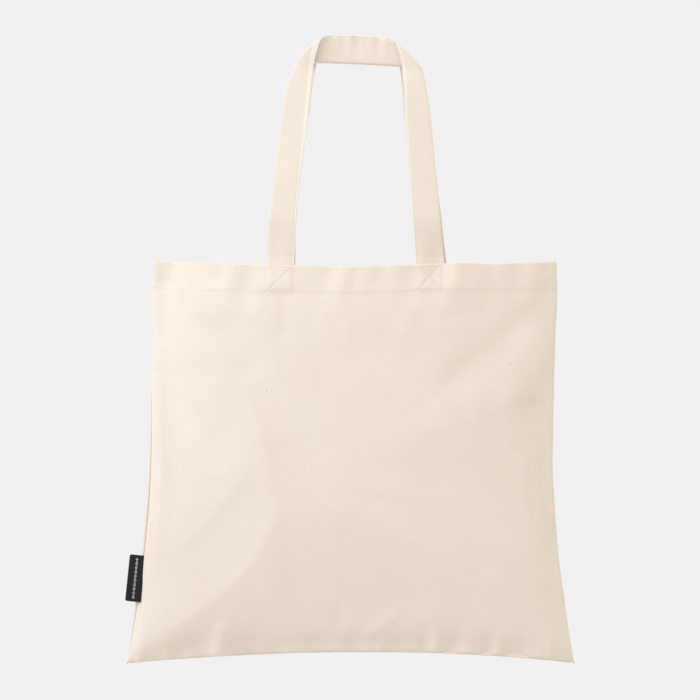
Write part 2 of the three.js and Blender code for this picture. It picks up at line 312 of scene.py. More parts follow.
# Height of the rim's edge over its level between the handles, in mm, by distance from the middle in mm.
RIM_STOPS = (
    (-190, 5.5), (-183, 3.4), (-174, 1.3), (-143, 0.8), (-120, -0.2), (-98, -1.1), (-68, -1.4), (-43, -2.0),
    (-10, -3.0), (23, -2.0), (45, -1.1), (68, -0.2), (95, 0.7), (127, -0.2), (155, 0.8), (178, 1.8),
    (190, 2.6),
)


def rim_height(x):
    places, heights = zip(*RIM_STOPS)
    return RIM_Z + np.interp(x / MM, places, heights) * MM


def bottom_height(x):
    outward = np.clip(np.abs(x) / BOTTOM_HALF, 0, 1)
    power = np.where(x < 0, BOTTOM_BOW_POWERS["left"], BOTTOM_BOW_POWERS["right"])
    return CORNER_Z + BOTTOM_BOW * (1 - outward**power)


def up_table():
    """How high each millimetre of cloth lies, along the middle of a panel."""
    ups = np.linspace(0, 1, 600) ** 2
    low = CORNER_Z + BOTTOM_BOW
    z = low + ups * (RIM_Z - low)
    y = np.array([panel_depth("front", np.zeros(1), u)[0] for u in ups])
    length = np.r_[0, np.cumsum(np.hypot(np.diff(z), np.diff(y)))]
    return ups, length / length[-1] * FLAT_HEIGHT


UPS, UP_LENGTHS = up_table()


def body_points(along, above):
    """Grid of points, one row for each height of cloth above the bottom seam."""
    grid = np.zeros((len(above), len(along), 3))
    for row, height in enumerate(above):
        up = float(np.interp(height, UP_LENGTHS, UPS))
        x, y = section_points(up, along)
        low = bottom_height(x)
        grid[row, :, 0] = x
        grid[row, :, 1] = y
        grid[row, :, 2] = low + up * (rim_height(x) - low)
    return grid


def lean(points):
    """The whole bag hangs slightly askew."""
    points = np.array(points, float)
    points[..., 0] += SIDEWAYS_LEAN * points[..., 2]
    return points


# ------------------------------------------------------------------ cloth simulation

SIM_COLUMNS = 84
SIM_ROWS = 76
SIM_FRAMES = 26
# The cloth is held at the rim where the handles pull: within these distances of the middle.
HELD_FROM, HELD_TO, HELD_DOWN = 55 * MM, 81 * MM, 3 * MM
BROAD_BLUR, FINE_BLUR = 8, 1.1
SIM_SETTINGS = {
    "quality": 7,
    "mass": 0.002,
    "tension_stiffness": 40,
    "compression_stiffness": 40,
    "shear_stiffness": 10,
    "bending_stiffness": 0.6,
    "tension_damping": 10,
    "compression_damping": 10,
    "shear_damping": 5,
    "bending_damping": 0.8,
    "air_damping": 8,
    "use_pressure": True,
    "uniform_pressure_force": 0.8,
    "vertex_group_mass": "held",
}


def blur(grid, sigma):
    """Gaussian blur of a grid whose columns close on themselves."""
    reach = int(3 * sigma) + 1
    weights = np.exp(-0.5 * (np.arange(-reach, reach + 1) / sigma) ** 2)
    weights /= weights.sum()
    rows, columns = grid.shape[:2]
    wide = np.concatenate([grid[:, -reach:], grid, grid[:, :reach]], axis=1)
    grid = sum(w * wide[:, i : i + columns] for i, w in enumerate(weights))
    tall = np.pad(grid, ((reach, reach), (0, 0), (0, 0)), mode="edge")
    return sum(w * tall[i : i + rows] for i, w in enumerate(weights))


def simulated_wrinkles():
    """Lets two sewn flat panels relax around the filled shape, and returns the wrinkles that this leaves."""
    loop = 2 * SIM_COLUMNS
    along = np.arange(loop) * FLAT_WIDTH / SIM_COLUMNS
    above = np.linspace(0, FLAT_HEIGHT, SIM_ROWS + 1)
    start = body_points(along, above)
    points = start.reshape(-1, 3).copy()
    across = np.where(along <= FLAT_WIDTH, along, 2 * FLAT_WIDTH - along) - FLAT_WIDTH / 2
    flat = np.stack(np.meshgrid(across, above), -1).reshape(-1, 2)
    share = np.arange(len(points))
    for column in range(SIM_COLUMNS + 1, loop):
        share[column] = loop - column
    used, index = np.unique(share, return_inverse=True)
    faces = []
    for row in range(SIM_ROWS):
        for column in range(loop):
            n = (column + 1) % loop
            a, b = row * loop, (row + 1) * loop
            faces.append([int(index[i]) for i in (a + column, a + n, b + n, b + column)])
    mesh = bpy.data.meshes.new("wrinkle_cloth")
    mesh.from_pydata(points[used].tolist(), [], faces)
    cloth = bpy.data.objects.new("wrinkle_cloth", mesh)
    bpy.context.scene.collection.objects.link(cloth)
    cloth.shape_key_add(name="start")
    key = cloth.shape_key_add(name="flat")
    for i, (x, z) in enumerate(flat[used]):
        key.data[i].co = (x, 0, z)
    key.value = 0
    held = cloth.vertex_groups.new(name="held")
    for i, p in enumerate(points[used]):
        if p[2] > RIM_Z - HELD_DOWN and HELD_FROM < abs(p[0]) < HELD_TO:
            held.add([i], 1.0, "REPLACE")
    modifier = cloth.modifiers.new("cloth", "CLOTH")
    for setting, value in SIM_SETTINGS.items():
        setattr(modifier.settings, setting, value)
    modifier.settings.rest_shape_key = key
    modifier.settings.effector_weights.gravity = 0
    modifier.collision_settings.use_collision = False
    modifier.collision_settings.use_self_collision = False
    scene = bpy.context.scene
    for step in range(1, SIM_FRAMES + 1):
        scene.frame_set(step)
    settled = cloth.evaluated_get(bpy.context.evaluated_depsgraph_get()).to_mesh()
    moved = np.zeros(len(settled.vertices) * 3)
    settled.vertices.foreach_get("co", moved)
    scene.frame_set(1)
    bpy.data.objects.remove(cloth)
    shift = moved.reshape(-1, 3)[index].reshape(start.shape) - start
    rough = shift - blur(shift, BROAD_BLUR)
    return along, above, blur(rough, FINE_BLUR)


def resample(grid, from_rows, from_columns, rows, columns):
    """Smooth interpolation of a grid whose columns close on themselves."""

    def weights(source, targets, closed):
        step = source[1] - source[0]
        matrix = np.zeros((len(targets), len(source)))
        for i, target in enumerate(targets):
            place = (target - source[0]) / step
            base = math.floor(place)
            t = place - base
            spline = (-t + 2 * t**2 - t**3, 2 - 5 * t**2 + 3 * t**3, t + 4 * t**2 - 3 * t**3, t**3 - t**2)
            for offset, w in zip((-1, 0, 1, 2), spline):
                k = base + offset
                k = k % len(source) if closed else min(max(k, 0), len(source) - 1)
                matrix[i, k] += w / 2
        return matrix

    by_row = weights(from_rows, rows, False)
    by_column = weights(from_columns, columns, True)
    return np.einsum("ri,ijk,cj->rck", by_row, grid, by_column)


# ------------------------------------------------------------------ folds given one by one


CREST = 4.5 * MM
CREASE_TURN = 4
END_FADE = 0.25


def soft_line(across, above, points, widths, height, crease=False):
    """A raised or sunk line along a path on the flat cloth, in millimetres.

    It is soft across and at its ends, and has one width to the left of its direction and one to the right.
    A crease has a sharper crest and falls away evenly on both sides.
    """
    points = np.array(points, float) * MM
    steps = np.diff(points, axis=0)
    lengths = np.hypot(steps[:, 0], steps[:, 1])
    total = lengths.sum()
    best = np.full(across.shape, 1e9)
    where = np.zeros(across.shape)
    width = np.full(across.shape, widths[0] * MM)
    passed = 0.0
    turn = (CREASE_TURN if crease else min(widths)) * MM
    for start, step, length in zip(points[:-1], steps, lengths):
        da, db = across - start[0], above - start[1]
        t = np.clip((da * step[0] + db * step[1]) / length**2, 0, 1)
        distance = np.hypot(da - t * step[0], db - t * step[1])
        side = np.clip((step[0] * db - step[1] * da) / length / turn, -1, 1)
        mixed = (widths[0] * (1 + side) + widths[1] * (1 - side)) / 2 * MM
        nearer = distance < best
        best = np.where(nearer, distance, best)
        width = np.where(nearer, mixed, width)
        where = np.where(nearer, (passed + t * length) / total, where)
        passed += length
    ends = np.clip(np.minimum(where, 1 - where) / END_FADE, 0, 1)
    ends = ends * ends * (3 - 2 * ends)
    if crease:
        return height * MM * np.exp(-(np.hypot(best, CREST) - CREST) / width) * ends
    return height * MM * np.exp(-0.5 * (best / width) ** 2) * (0.25 + 0.75 * ends)


# Each fold is a path (across and above in mm), its widths to the left and right of the path, and its height.
FRONT_CREASES = (
    (((-8, 358), (42, 314), (74, 286), (96, 257), (110, 222), (118, 180), (121, 130)), (18, 42), 5.2),
    (
        ((-24, -16), (25, 20), (56, 44), (86, 67), (109, 95), (126, 129), (134, 170), (138, 205)),
        (26, 115),
        6.1,
    ),
)

FRONT_FOLDS = (
    (((276, 240), (308, 267), (335, 291), (365, 316), (409, 348)), (9.5, 12), -2.2),
    (((200, 190), (262, 216), (312, 234)), (15, 15), 1.5),
    (((408, 308), (376, 268), (336, 244), (306, 232)), (15, 22), 3.1),
    (((322, 292), (352, 322), (392, 356)), (13, 11), 0.9),
    (((64, 330), (98, 297), (118, 262)), (12, 12), -1.5),
    (((9, 290), (11, 200), (14, 105)), (7, 7), 1.0),
    (((18, 95), (32, 109), (62, 143), (88, 172), (102, 190)), (22, 9), 1.4),
    (((34, 2), (55, 13), (73, 25)), (8, 8), -2.6),
    (((84, 40), (85, 0)), (5.5, 5.5), 1.8),
    (((362, 262), (360, 228), (362, 197)), (8, 8), 1.5),
    (((386, 250), (384, 216)), (9, 9), -1.6),
    (((372, 206), (374, 105)), (4, 4), 0.8),
    (((385, 200), (389, 100)), (3.5, 5), 0.8),
    (((323, 90), (374, 46), (404, 8)), (9, 9), 1.8),
    (((394, 90), (403, 12)), (5, 5), -1.2),
    (((136, 360), (136, 296)), (8, 6), -1.3),
    (((196, 328), (199, 298)), (6, 6), 0.8),
    (((176, 338), (172, 306)), (7, 7), 0.6),
    (((262, 345), (252, 300)), (9, 9), 0.7),
    (((224, 20), (248, 44)), (4, 4), 0.9),
    (((192, 51), (193, 26)), (4, 4), -0.8),
    (((298, 350), (300, 318)), (8, 8), -0.7),
    (((24, 408), (20, 290)), (34, 10), -2.6),
    (((20, 404), (18, 346)), (18, 9), -4.6),
    (((57, 395), (48, 345)), (8, 6), -1.2),
    (((168, 395), (158, 345)), (5, 5), -0.7),
    (((214, 395), (196, 340)), (6, 5), -0.8),
    (((236, 395), (222, 350)), (5, 5), -0.6),
    (((327, 395), (312, 350)), (6, 6), -0.7),
    (((396, 402), (398, 350)), (10, 16), 1.6),
    (((121, 400), (120, 344)), (15, 12), 1.9),
)

BACK_FOLDS = (
    (((128, 262), (72, 290), (42, 314), (6, 350)), (16, 5), -2.4),
    (((8, 300), (44, 268), (82, 250), (130, 236)), (13, 13), 1.6),
    (((402, 346), (362, 308), (330, 276), (304, 240), (296, 190)), (20, 10), 2.3),
    (((350, 326), (316, 296), (290, 260)), (12, 12), -1.6),
    (((407, 3), (384, 24), (352, 48), (318, 72), (292, 104)), (22, 9), 2.8),
    (((3, 4), (34, 48), (78, 92)), (11, 11), 2.4),
    (((396, 10), (362, 18), (330, 26)), (6, 6), -2.0),
    (((48, 262), (46, 228), (50, 180)), (8, 8), 1.3),
    (((205, 332), (208, 296)), (8, 8), 0.9),
    (((272, 350), (270, 300)), (7, 7), -0.9),
    (((150, 24), (172, 50)), (5, 5), 1.0),
)


def bottom_puckers(across, above, seed):
    """Short upright puckers where the bottom seam gathers the cloth."""
    random = np.random.default_rng(seed)
    height = np.zeros(across.shape)
    place, last = 14.0, 400
    while place < last:
        width = random.uniform(3.5, 8.5)
        tall = random.uniform(12, 30)
        size = random.choice([-1, 1]) * random.uniform(0.8, 2.3)
        drift = random.uniform(-0.25, 0.25)
        centre = (place + drift * above / MM) * MM
        along = np.exp(-0.5 * ((across - centre) / (width * MM)) ** 2)
        height += size * MM * along * np.exp(-((above / (tall * MM)) ** 2))
        place += random.uniform(9, 24)
    return height


def hem_waves(across, above, seed):
    """Soft slanting waves along the hem, which fade out down the panel."""
    random = np.random.default_rng(seed)
    wave = np.zeros(across.shape)
    for length, size in ((96, 0.8), (54, 0.55), (37, 0.5), (27, 0.42)):
        slant = random.uniform(0.1, 0.8)
        phase = 2 * math.pi * (across - slant * above) / (length * MM) + random.uniform(0, 6.28)
        wave += size * MM * np.sin(phase)
    below = (FLAT_HEIGHT - above) / (32 * MM)
    return wave * np.exp(-(below**1.6))


STRAP_FOOT = 68.4 * MM
STRAP_LEVEL = 0.97


def strap_centres():
    """Where the middles of the two strap ends lie across the flat cloth."""
    across = np.linspace(0, FLAT_WIDTH, 800)
    x, _ = section_points(STRAP_LEVEL, across)
    return tuple(float(np.interp(place, x, across)) for place in (-STRAP_FOOT, STRAP_FOOT))


STRAP_CENTRES = strap_centres()
BOX_HALF = 11.6 * MM
BOX_MIDDLE = 12.1 * MM
BOX_MARGIN = 1.5 * MM
HEM_PROUD = 0.42 * MM
STRAP_PROUD = 0.75 * MM
STITCH_SINK = 0.24 * MM
LINE_HALF = 0.7 * MM
FRAME_GROOVE = 0.45 * MM
# The diagonals of the stitched boxes: way of the slope, depth and half width.
DIAGONAL_GROOVES = ((1, 0.65 * MM), (-1, 0.3 * MM))
DIAGONAL_HALF = 0.75 * MM


def bell(distance, width):
    return np.exp(-0.5 * (distance / width) ** 2)


def fall(distance, width):
    """1 well below zero distance, 0 well above it."""
    return 1 / (1 + np.exp(distance / width))


def hem_relief(across, above):
    """The hem stands slightly proud, its stitch line is sunk, and the strap ends show through."""
    down = FLAT_HEIGHT - above
    low = fall(down - HEM_DEPTH, 0.7 * MM)
    ripple = 1 + 0.5 * np.sin(2 * math.pi * across / (STITCH_LENGTH + STITCH_GAP))
    relief = HEM_PROUD * low - STITCH_SINK * ripple * bell(down - STITCH_DOWN, LINE_HALF)
    for centre in STRAP_CENTRES:
        u = across - centre
        v = down - BOX_MIDDLE
        relief += STRAP_PROUD * fall(np.abs(u) - STRAP_WIDTH / 2, 0.5 * MM) * low
        inside = (np.abs(u) < BOX_HALF + BOX_MARGIN) & (np.abs(v) < BOX_HALF + BOX_MARGIN)
        frame_lines = np.minimum(np.abs(np.abs(u) - BOX_HALF), np.abs(np.abs(v) - BOX_HALF))
        groove = FRAME_GROOVE * bell(frame_lines, LINE_HALF)
        for lean_way, depth in DIAGONAL_GROOVES:
            line = (u + lean_way * v) / math.sqrt(2)
            groove = np.maximum(groove, depth * bell(line, DIAGONAL_HALF))
        relief -= groove * inside
    return relief


EDGE_TURN_IN, BOTTOM_TURN_IN, TURN_IN_REACH = 1.5 * MM, 1.3 * MM, 1.1 * MM
SIDE_PRINT, BOTTOM_PRINT = 0.35 * MM, 0.25 * MM


def seam_relief(across, above):
    """Both edges and the bottom turn in at the seams, and the seam allowance prints through."""
    edge = np.minimum(across, FLAT_WIDTH - across)
    turn = EDGE_TURN_IN * np.exp(-edge / TURN_IN_REACH) + BOTTOM_TURN_IN * np.exp(-above / TURN_IN_REACH)
    side = fall(across - ALLOWANCE_WIDTH - 1 * MM, 0.8 * MM) * np.exp(-(((above - 0.2) / 0.12) ** 4))
    return SIDE_PRINT * side + BOTTOM_PRINT * fall(above - ALLOWANCE_WIDTH, 1.2 * MM) - turn


WIDTH_MM = round(FLAT_WIDTH / MM)
SEAM_STEP, STRAP_STEP, OPEN_STEP = 0.7, 0.9, 2.3
SEAM_ZONE, STRAP_ZONE, HEM_ZONE = 3.5, 16, 345


def column_step(here):
    """Columns lie close at the seams and over the strap ends. Places and steps are in mm."""
    if min(here, WIDTH_MM - here) < SEAM_ZONE:
        return SEAM_STEP
    return STRAP_STEP if min(abs(here - c / MM) for c in STRAP_CENTRES) < STRAP_ZONE else OPEN_STEP


def row_step(here):
    if here < SEAM_ZONE:
        return SEAM_STEP
    return STRAP_STEP if here > HEM_ZONE else OPEN_STEP


def spaced(total, step_at):
    places = [0.0]
    while places[-1] < total - 1e-6:
        places.append(places[-1] + step_at(places[-1] / MM) * MM)
    return np.array(places) / places[-1] * total


COLUMNS = spaced(FLAT_WIDTH, column_step)
ROWS = spaced(FLAT_HEIGHT, row_step)


def grid_normals(grid):
    across = np.gradient(grid, axis=1)
    upward = np.gradient(grid, axis=0)
    normal = np.cross(across, upward)
    return normal / np.maximum(np.linalg.norm(normal, axis=-1, keepdims=True), 1e-12)


WRINKLE_EASE, FOLD_EASE, BOTTOM_EASE = 14 * MM, 10 * MM, 3 * MM
HALF_GAP = 0.05 * MM


def panel_surface(side, wrinkles):
    """Outer face of one panel, as a grid of points and outward normals."""
    along_sim, above_sim, shift = wrinkles
    along = COLUMNS + (0 if side == "front" else FLAT_WIDTH)
    grid = body_points(along, ROWS)
    across, above = np.meshgrid(COLUMNS, ROWS)
    edge = np.minimum(across, FLAT_WIDTH - across)
    calm = np.clip(np.minimum(edge, above) / WRINKLE_EASE, 0, 1) ** 1.5
    grid += resample(shift, above_sim, along_sim, ROWS, along) * calm[..., None]
    normal = grid_normals(grid)
    folds, creases, seed = (FRONT_FOLDS, FRONT_CREASES, 11) if side == "front" else (BACK_FOLDS, (), 12)
    height = bottom_puckers(across, above, seed) + hem_waves(across, above, seed)
    for points, widths, size in folds:
        height += soft_line(across, above, points, widths, size)
    for points, widths, size in creases:
        height += soft_line(across, above, points, widths, size, crease=True)
    height *= np.clip(edge / FOLD_EASE, 0, 1) * np.clip(above / BOTTOM_EASE, 0, 1)
    height += seam_relief(across, above) + hem_relief(across, above)
    moved = normal * height[..., None]
    for column, inward in ((0, 1), (-1, -2)):
        moved[0, column] = moved[0, inward] + moved[1, column]
    grid = grid + moved
    grid[..., 1] += HALF_GAP if side == "back" else -HALF_GAP
    return grid, grid_normals(grid)


# ------------------------------------------------------------------ mesh making


def new_object(name, verts, faces, uv=None, smooth=True):
    mesh = bpy.data.meshes.new(name)
    mesh.from_pydata(np.asarray(verts).tolist(), [], [tuple(int(i) for i in f) for f in faces])
    if smooth:
        mesh.shade_smooth()
    if uv is not None:
        layer = mesh.uv_layers.new(name="UVMap")
        loops = np.zeros(len(mesh.loops), int)
        mesh.loops.foreach_get("vertex_index", loops)
        layer.data.foreach_set("uv", np.asarray(uv)[loops].ravel())
    mesh.update()
    obj = bpy.data.objects.new(name, mesh)
    bpy.context.scene.collection.objects.link(obj)
    return obj


def grid_faces(rows, columns, offset, flip):
    r, c = np.meshgrid(np.arange(rows - 1), np.arange(columns - 1), indexing="ij")
    a = offset + r * columns + c
    quads = np.stack([a, a + 1, a + 1 + columns, a + columns], -1).reshape(-1, 4)
    return quads[:, ::-1] if flip else quads


def closed_sheet(name, outer, inner, uv, flip=False):
    """A closed cloth mesh from its outer and inner faces, which are grids of the same size."""
    rows, columns = outer.shape[:2]
    count = rows * columns
    verts = np.concatenate([outer.reshape(-1, 3), inner.reshape(-1, 3)])
    faces = [grid_faces(rows, columns, 0, flip), grid_faces(rows, columns, count, not flip)]
    left = np.arange(rows) * columns
    bottom = np.arange(columns)
    for edge in (left, (left + columns - 1)[::-1], bottom[::-1], (rows - 1) * columns + bottom):
        far = edge + count
        band = np.stack([edge[:-1], edge[1:], far[1:], far[:-1]], -1)
        faces.append(band[:, ::-1] if flip else band)
    uvs = np.concatenate([uv.reshape(-1, 2)] * 2)
    return new_object(name, verts, np.concatenate(faces), uvs)


UV_SCALE = 0.5


def cloth_uv(across, above):
    """Texture coordinates in half metres of flat cloth, so that every piece's weave has the same size."""
    a, b = np.meshgrid(across, above)
    return np.stack([a, b], -1) / UV_SCALE


HEM_EASE = 4 * MM
HEM_SEAM_REACH = 2.5 * MM
TURNED_CLOTH = 1.25 * MM
# Least distance of each face of the hem's two layers from the middle plane, in mm: at the seam, away from it.
HEM_LAYERS = (
    # outside of the hem, turned-in part
    ((0.41, 1.55), (0.05, 0.05)),
    ((0.29, 1.05), (0.17, 0.6)),
)


def add_panel(side, surface):
    """The canvas panel with its hem turned in over the rim, as one sheet."""
    grid, normal = surface
    rim, rim_normal = grid[-1], normal[-1]
    rows = [grid]
    curl_steps = 7
    for step in range(1, curl_steps + 1):
        angle = math.pi * step / curl_steps
        lift = np.array([0, 0, math.sin(angle) * HEM_ROUND])
        rows.append((rim - rim_normal * HEM_ROUND * (1 - math.cos(angle)) + lift)[None])
    inside_rows = [i for i, b in enumerate(ROWS) if b > FLAT_HEIGHT - HEM_DEPTH][::-1][1::2]
    for i in inside_rows:
        rows.append((grid[i] - normal[i] * 2 * HEM_ROUND)[None])
    outer = np.concatenate(rows)
    thick = np.full(len(outer), CLOTH)
    thick[len(grid) + curl_steps // 2 :] = TURNED_CLOTH
    all_normals = grid_normals(outer)
    all_normals[: len(grid) - 1] = normal[:-1]
    inner = outer - all_normals * thick[:, None, None]
    way = 1 if side == "back" else -1
    hem_start = FLAT_HEIGHT - HEM_DEPTH
    first = int(np.searchsorted(ROWS, hem_start - HEM_EASE))
    thickening = np.clip((ROWS - hem_start) / HEM_EASE + 1, 0, 1)
    thickening = np.r_[thickening, np.ones(len(outer) - len(grid))][first:, None]
    turned = np.clip((np.arange(len(outer)) - len(grid) + 1) / curl_steps, 0, 1)[first:, None]
    from_seam = np.clip(np.minimum(COLUMNS, FLAT_WIDTH - COLUMNS) / HEM_SEAM_REACH, 0, 1)
    for layer, ((main_seam, main_open), (turned_seam, turned_open)) in zip((outer, inner), HEM_LAYERS):
        at_seam = main_seam + (turned_seam - main_seam) * turned
        in_open = main_open + (turned_open - main_open) * turned
        away = (at_seam + (in_open - at_seam) * from_seam) * thickening * MM
        layer[first:, :, 1] = way * np.maximum(way * layer[first:, :, 1], away)
    above = np.r_[ROWS, FLAT_HEIGHT + np.linspace(0.5 * MM, HEM_DEPTH, len(outer) - len(grid))]
    return closed_sheet(f"{side}_panel_cloth", lean(outer), lean(inner), cloth_uv(COLUMNS, above))


def sample(surface, across, above):
    """Points and normals of a panel's outer face at places on the flat cloth."""
    grid, normal = surface
    across, above = np.atleast_1d(across), np.atleast_1d(above)
    c = np.interp(across, COLUMNS, np.arange(len(COLUMNS)))
    r = np.interp(above, ROWS, np.arange(len(ROWS)))
    c0 = np.minimum(c.astype(int), len(COLUMNS) - 2)
    r0 = np.minimum(r.astype(int), len(ROWS) - 2)
    tc, tr = (c - c0)[:, None], (r - r0)[:, None]

    def mixed(values):
        low = values[r0, c0] * (1 - tc) + values[r0, c0 + 1] * tc
        high = values[r0 + 1, c0] * (1 - tc) + values[r0 + 1, c0 + 1] * tc
        return low * (1 - tr) + high * tr

    n = mixed(normal)
    return mixed(grid), n / np.linalg.norm(n, axis=1, keepdims=True)


def stitch_run(points, normals, radius=THREAD_RADIUS, length=STITCH_LENGTH, gap=STITCH_GAP, sink=0.35):
    """Short thread capsules laid end to end along a path. Each one dips into the cloth at both ends."""
    steps = np.linalg.norm(np.diff(points, axis=0), axis=1)
    travelled = np.r_[0, np.cumsum(steps)]
    count = max(1, int(travelled[-1] // (length + gap)))
    pitch = travelled[-1] / count
    rings, sides, ahead = 7, 6, 1e-4

    def along(values, place):
        return np.array([np.interp(place, travelled, column) for column in np.transpose(values)])

    verts, faces = [], []
    for k in range(count):
        base = len(verts)
        for ring in range(rings):
            t = ring / (rings - 1)
            place = k * pitch + gap / 2 + t * (pitch - gap)
            tangent = along(points, place + ahead) - along(points, place - ahead)
            tangent /= max(np.linalg.norm(tangent), 1e-12)
            n = along(normals, place)
            n = n - tangent * n.dot(tangent)
            n /= np.linalg.norm(n)
            b = np.cross(tangent, n)
            swell = math.sqrt(max(0.0, 1 - (2 * t - 1) ** 4))
            r = radius * max(swell, 0.12)
            centre = along(points, place) + n * (radius * (0.75 * swell - sink))
            for s in range(sides):
                angle = 2 * math.pi * s / sides
                verts.append(centre + r * (math.cos(angle) * n + math.sin(angle) * b))
        for ring in range(rings - 1):
            for s in range(sides):
                a = base + ring * sides + s
                a_next = base + ring * sides + (s + 1) % sides
                faces.append((a, a + sides, a_next + sides, a_next))
        faces.append(tuple(base + s for s in range(sides)))
        last = base + (rings - 1) * sides
        faces.append(tuple(last + s for s in reversed(range(sides))))
    return verts, faces


def merge_runs(name, runs, leaning=True):
    verts, faces = [], []
    for run_verts, run_faces in runs:
        base = len(verts)
        verts.extend(run_verts)
        faces.extend(tuple(base + i for i in f) for f in run_faces)
    return new_object(name, lean(verts) if leaning else verts, faces)


def add_hem_stitching(side, surface):
    """The stitch line round the hem, seen on both faces of the cloth."""
    across = np.linspace(1.2 * MM, FLAT_WIDTH - 1.2 * MM, 500)
    above = np.full_like(across, FLAT_HEIGHT - STITCH_DOWN)
    points, normals = sample(surface, across, above)
    inside = points - normals * (2 * HEM_ROUND)
    runs = [stitch_run(points, normals), stitch_run(inside, -normals)]
    return merge_runs(f"{side}_hem_stitching_thread", runs)


def add_box_stitching(surface, name, centre):
    """A stitched square with both diagonals over a strap end."""
    middle = FLAT_HEIGHT - BOX_MIDDLE
    corners = [(-BOX_HALF, -BOX_HALF), (BOX_HALF, -BOX_HALF), (BOX_HALF, BOX_HALF), (-BOX_HALF, BOX_HALF)]
    lines = [(corners[i], corners[(i + 1) % 4]) for i in range(4)]
    lines += [(corners[0], corners[2]), (corners[1], corners[3])]
    runs = []
    for (x0, z0), (x1, z1) in lines:
        t = np.linspace(0, 1, 40)
        across = centre + x0 + (x1 - x0) * t
        above = middle + z0 + (z1 - z0) * t
        points, normals = sample(surface, across, above)
        runs.append(stitch_run(points, normals))
    return merge_runs(name, runs)


# ------------------------------------------------------------------ handles

STRAP_LOW, STRAP_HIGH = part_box("front_strap")
FOLD_GAP = 0.8 * MM
STACK = 2 * STRAP_THICKNESS + FOLD_GAP
STRAP_LEAN = math.atan2(STRAP_HIGH.y - STRAP_LOW.y - STACK, STRAP_HIGH.z - STRAP_LOW.z)
FOOT_Z = RIM_Z + 2.2 * MM
BAND_LOW = (-FOOT_Z + STACK * math.sin(STRAP_LEAN)) / math.cos(STRAP_LEAN)
BEND_HEIGHT = 14 * MM
FOOT = -BAND_LOW / MM

# Edges of a handle, in mm: x from the middle and height over the underside of the band.
LEG_INNER = {
    "left": ((55.4, FOOT), (52.6, -123), (49.1, -90), (44.9, -57), (41.8, -20), (38.4, 4), (33.8, 20.2)),
    "right": ((55.4, FOOT), (50.3, -123), (47.2, -90), (44.8, -61), (42.4, -15), (39.6, 4), (34.4, 18.6)),
}
LEG_OUTER = {
    "left": ((81.6, FOOT), (76.9, -123), (73.4, -90), (69.4, -57), (65.4, -26), (63.2, -18), (59.6, -9.7)),
    "right": ((81.8, FOOT), (75.6, -123), (72.2, -90), (68.7, -57), (65.6, -34), (63.6, -22), (60.2, -7.2)),
}
BAND_UNDER = {
    "left": ((59.6, -9.7), (50, -2.5), (42, 1.0), (30, 1.3), (0, 0.3)),
    "right": ((60.2, -7.2), (50, -3.2), (42, -2.1), (30, -1.2), (0, 0.3)),
}
BAND_OVER = {
    "left": ((33.8, 20.2), (31.3, 23.2), (26, 25.7), (15, 26.3), (0, 25.9)),
    "right": ((34.4, 18.6), (32.0, 21.2), (27.6, 23.4), (12, 25.3), (0, 25.9)),
}
FOLD_BULGE = {"left": 3.4, "right": 0.5}
TURN_THICKNESS = 1.3 * MM
TURN_RADIUS = 0.8 * MM
THINNING = 14 * MM
BAND_RECESS = 5.2 * MM
FORWARD_LEAN = 0.84
BAND_TIP = 0.12
RIGHT_TWIST = 0.14
# How far the rear handle's legs stand inside the front ones, in mm, from foot to fold.
REAR_INSET = {
    "left": ((0, -1.4), (0.15, -2.3), (0.4, -2.3), (0.66, -2.4), (0.8, -1.0), (1, 0.2)),
    "right": ((0, -1.3), (0.25, -0.6), (0.52, 1.1), (0.62, 1.4), (0.8, 2.3), (1, 3.1)),
}


def smooth_path(points, count):
    """Evenly spaced points on a rounded path through the given ones."""
    xy = np.array([(x * MM, height * MM + BAND_LOW) for x, height in points])
    padded = np.vstack([2 * xy[0] - xy[1], xy, 2 * xy[-1] - xy[-2]])
    dense = []
    for i in range(1, len(padded) - 2):
        p0, p1, p2, p3 = padded[i - 1 : i + 3]
        d1, d2, d3 = (max(np.linalg.norm(b - a), 1e-9) ** 0.5 for a, b in ((p0, p1), (p1, p2), (p2, p3)))
        m1 = (p2 - p1) + d2 * ((p1 - p0) / d1 - (p2 - p0) / (d1 + d2))
        m2 = (p2 - p1) + d2 * ((p3 - p2) / d3 - (p3 - p1) / (d2 + d3))
        for t in np.linspace(0, 1, 40, endpoint=i == len(padded) - 3):
            h = (2 * t**3 - 3 * t**2 + 1, t**3 - 2 * t**2 + t, -2 * t**3 + 3 * t**2, t**3 - t**2)
            dense.append(h[0] * p1 + h[1] * m1 + h[2] * p2 + h[3] * m2)
    dense = np.array(dense)
    length = np.r_[0, np.cumsum(np.linalg.norm(np.diff(dense, axis=0), axis=1))]
    even = np.linspace(0, length[-1], count)
    return np.stack([np.interp(even, length, dense[:, i]) for i in range(2)], -1)


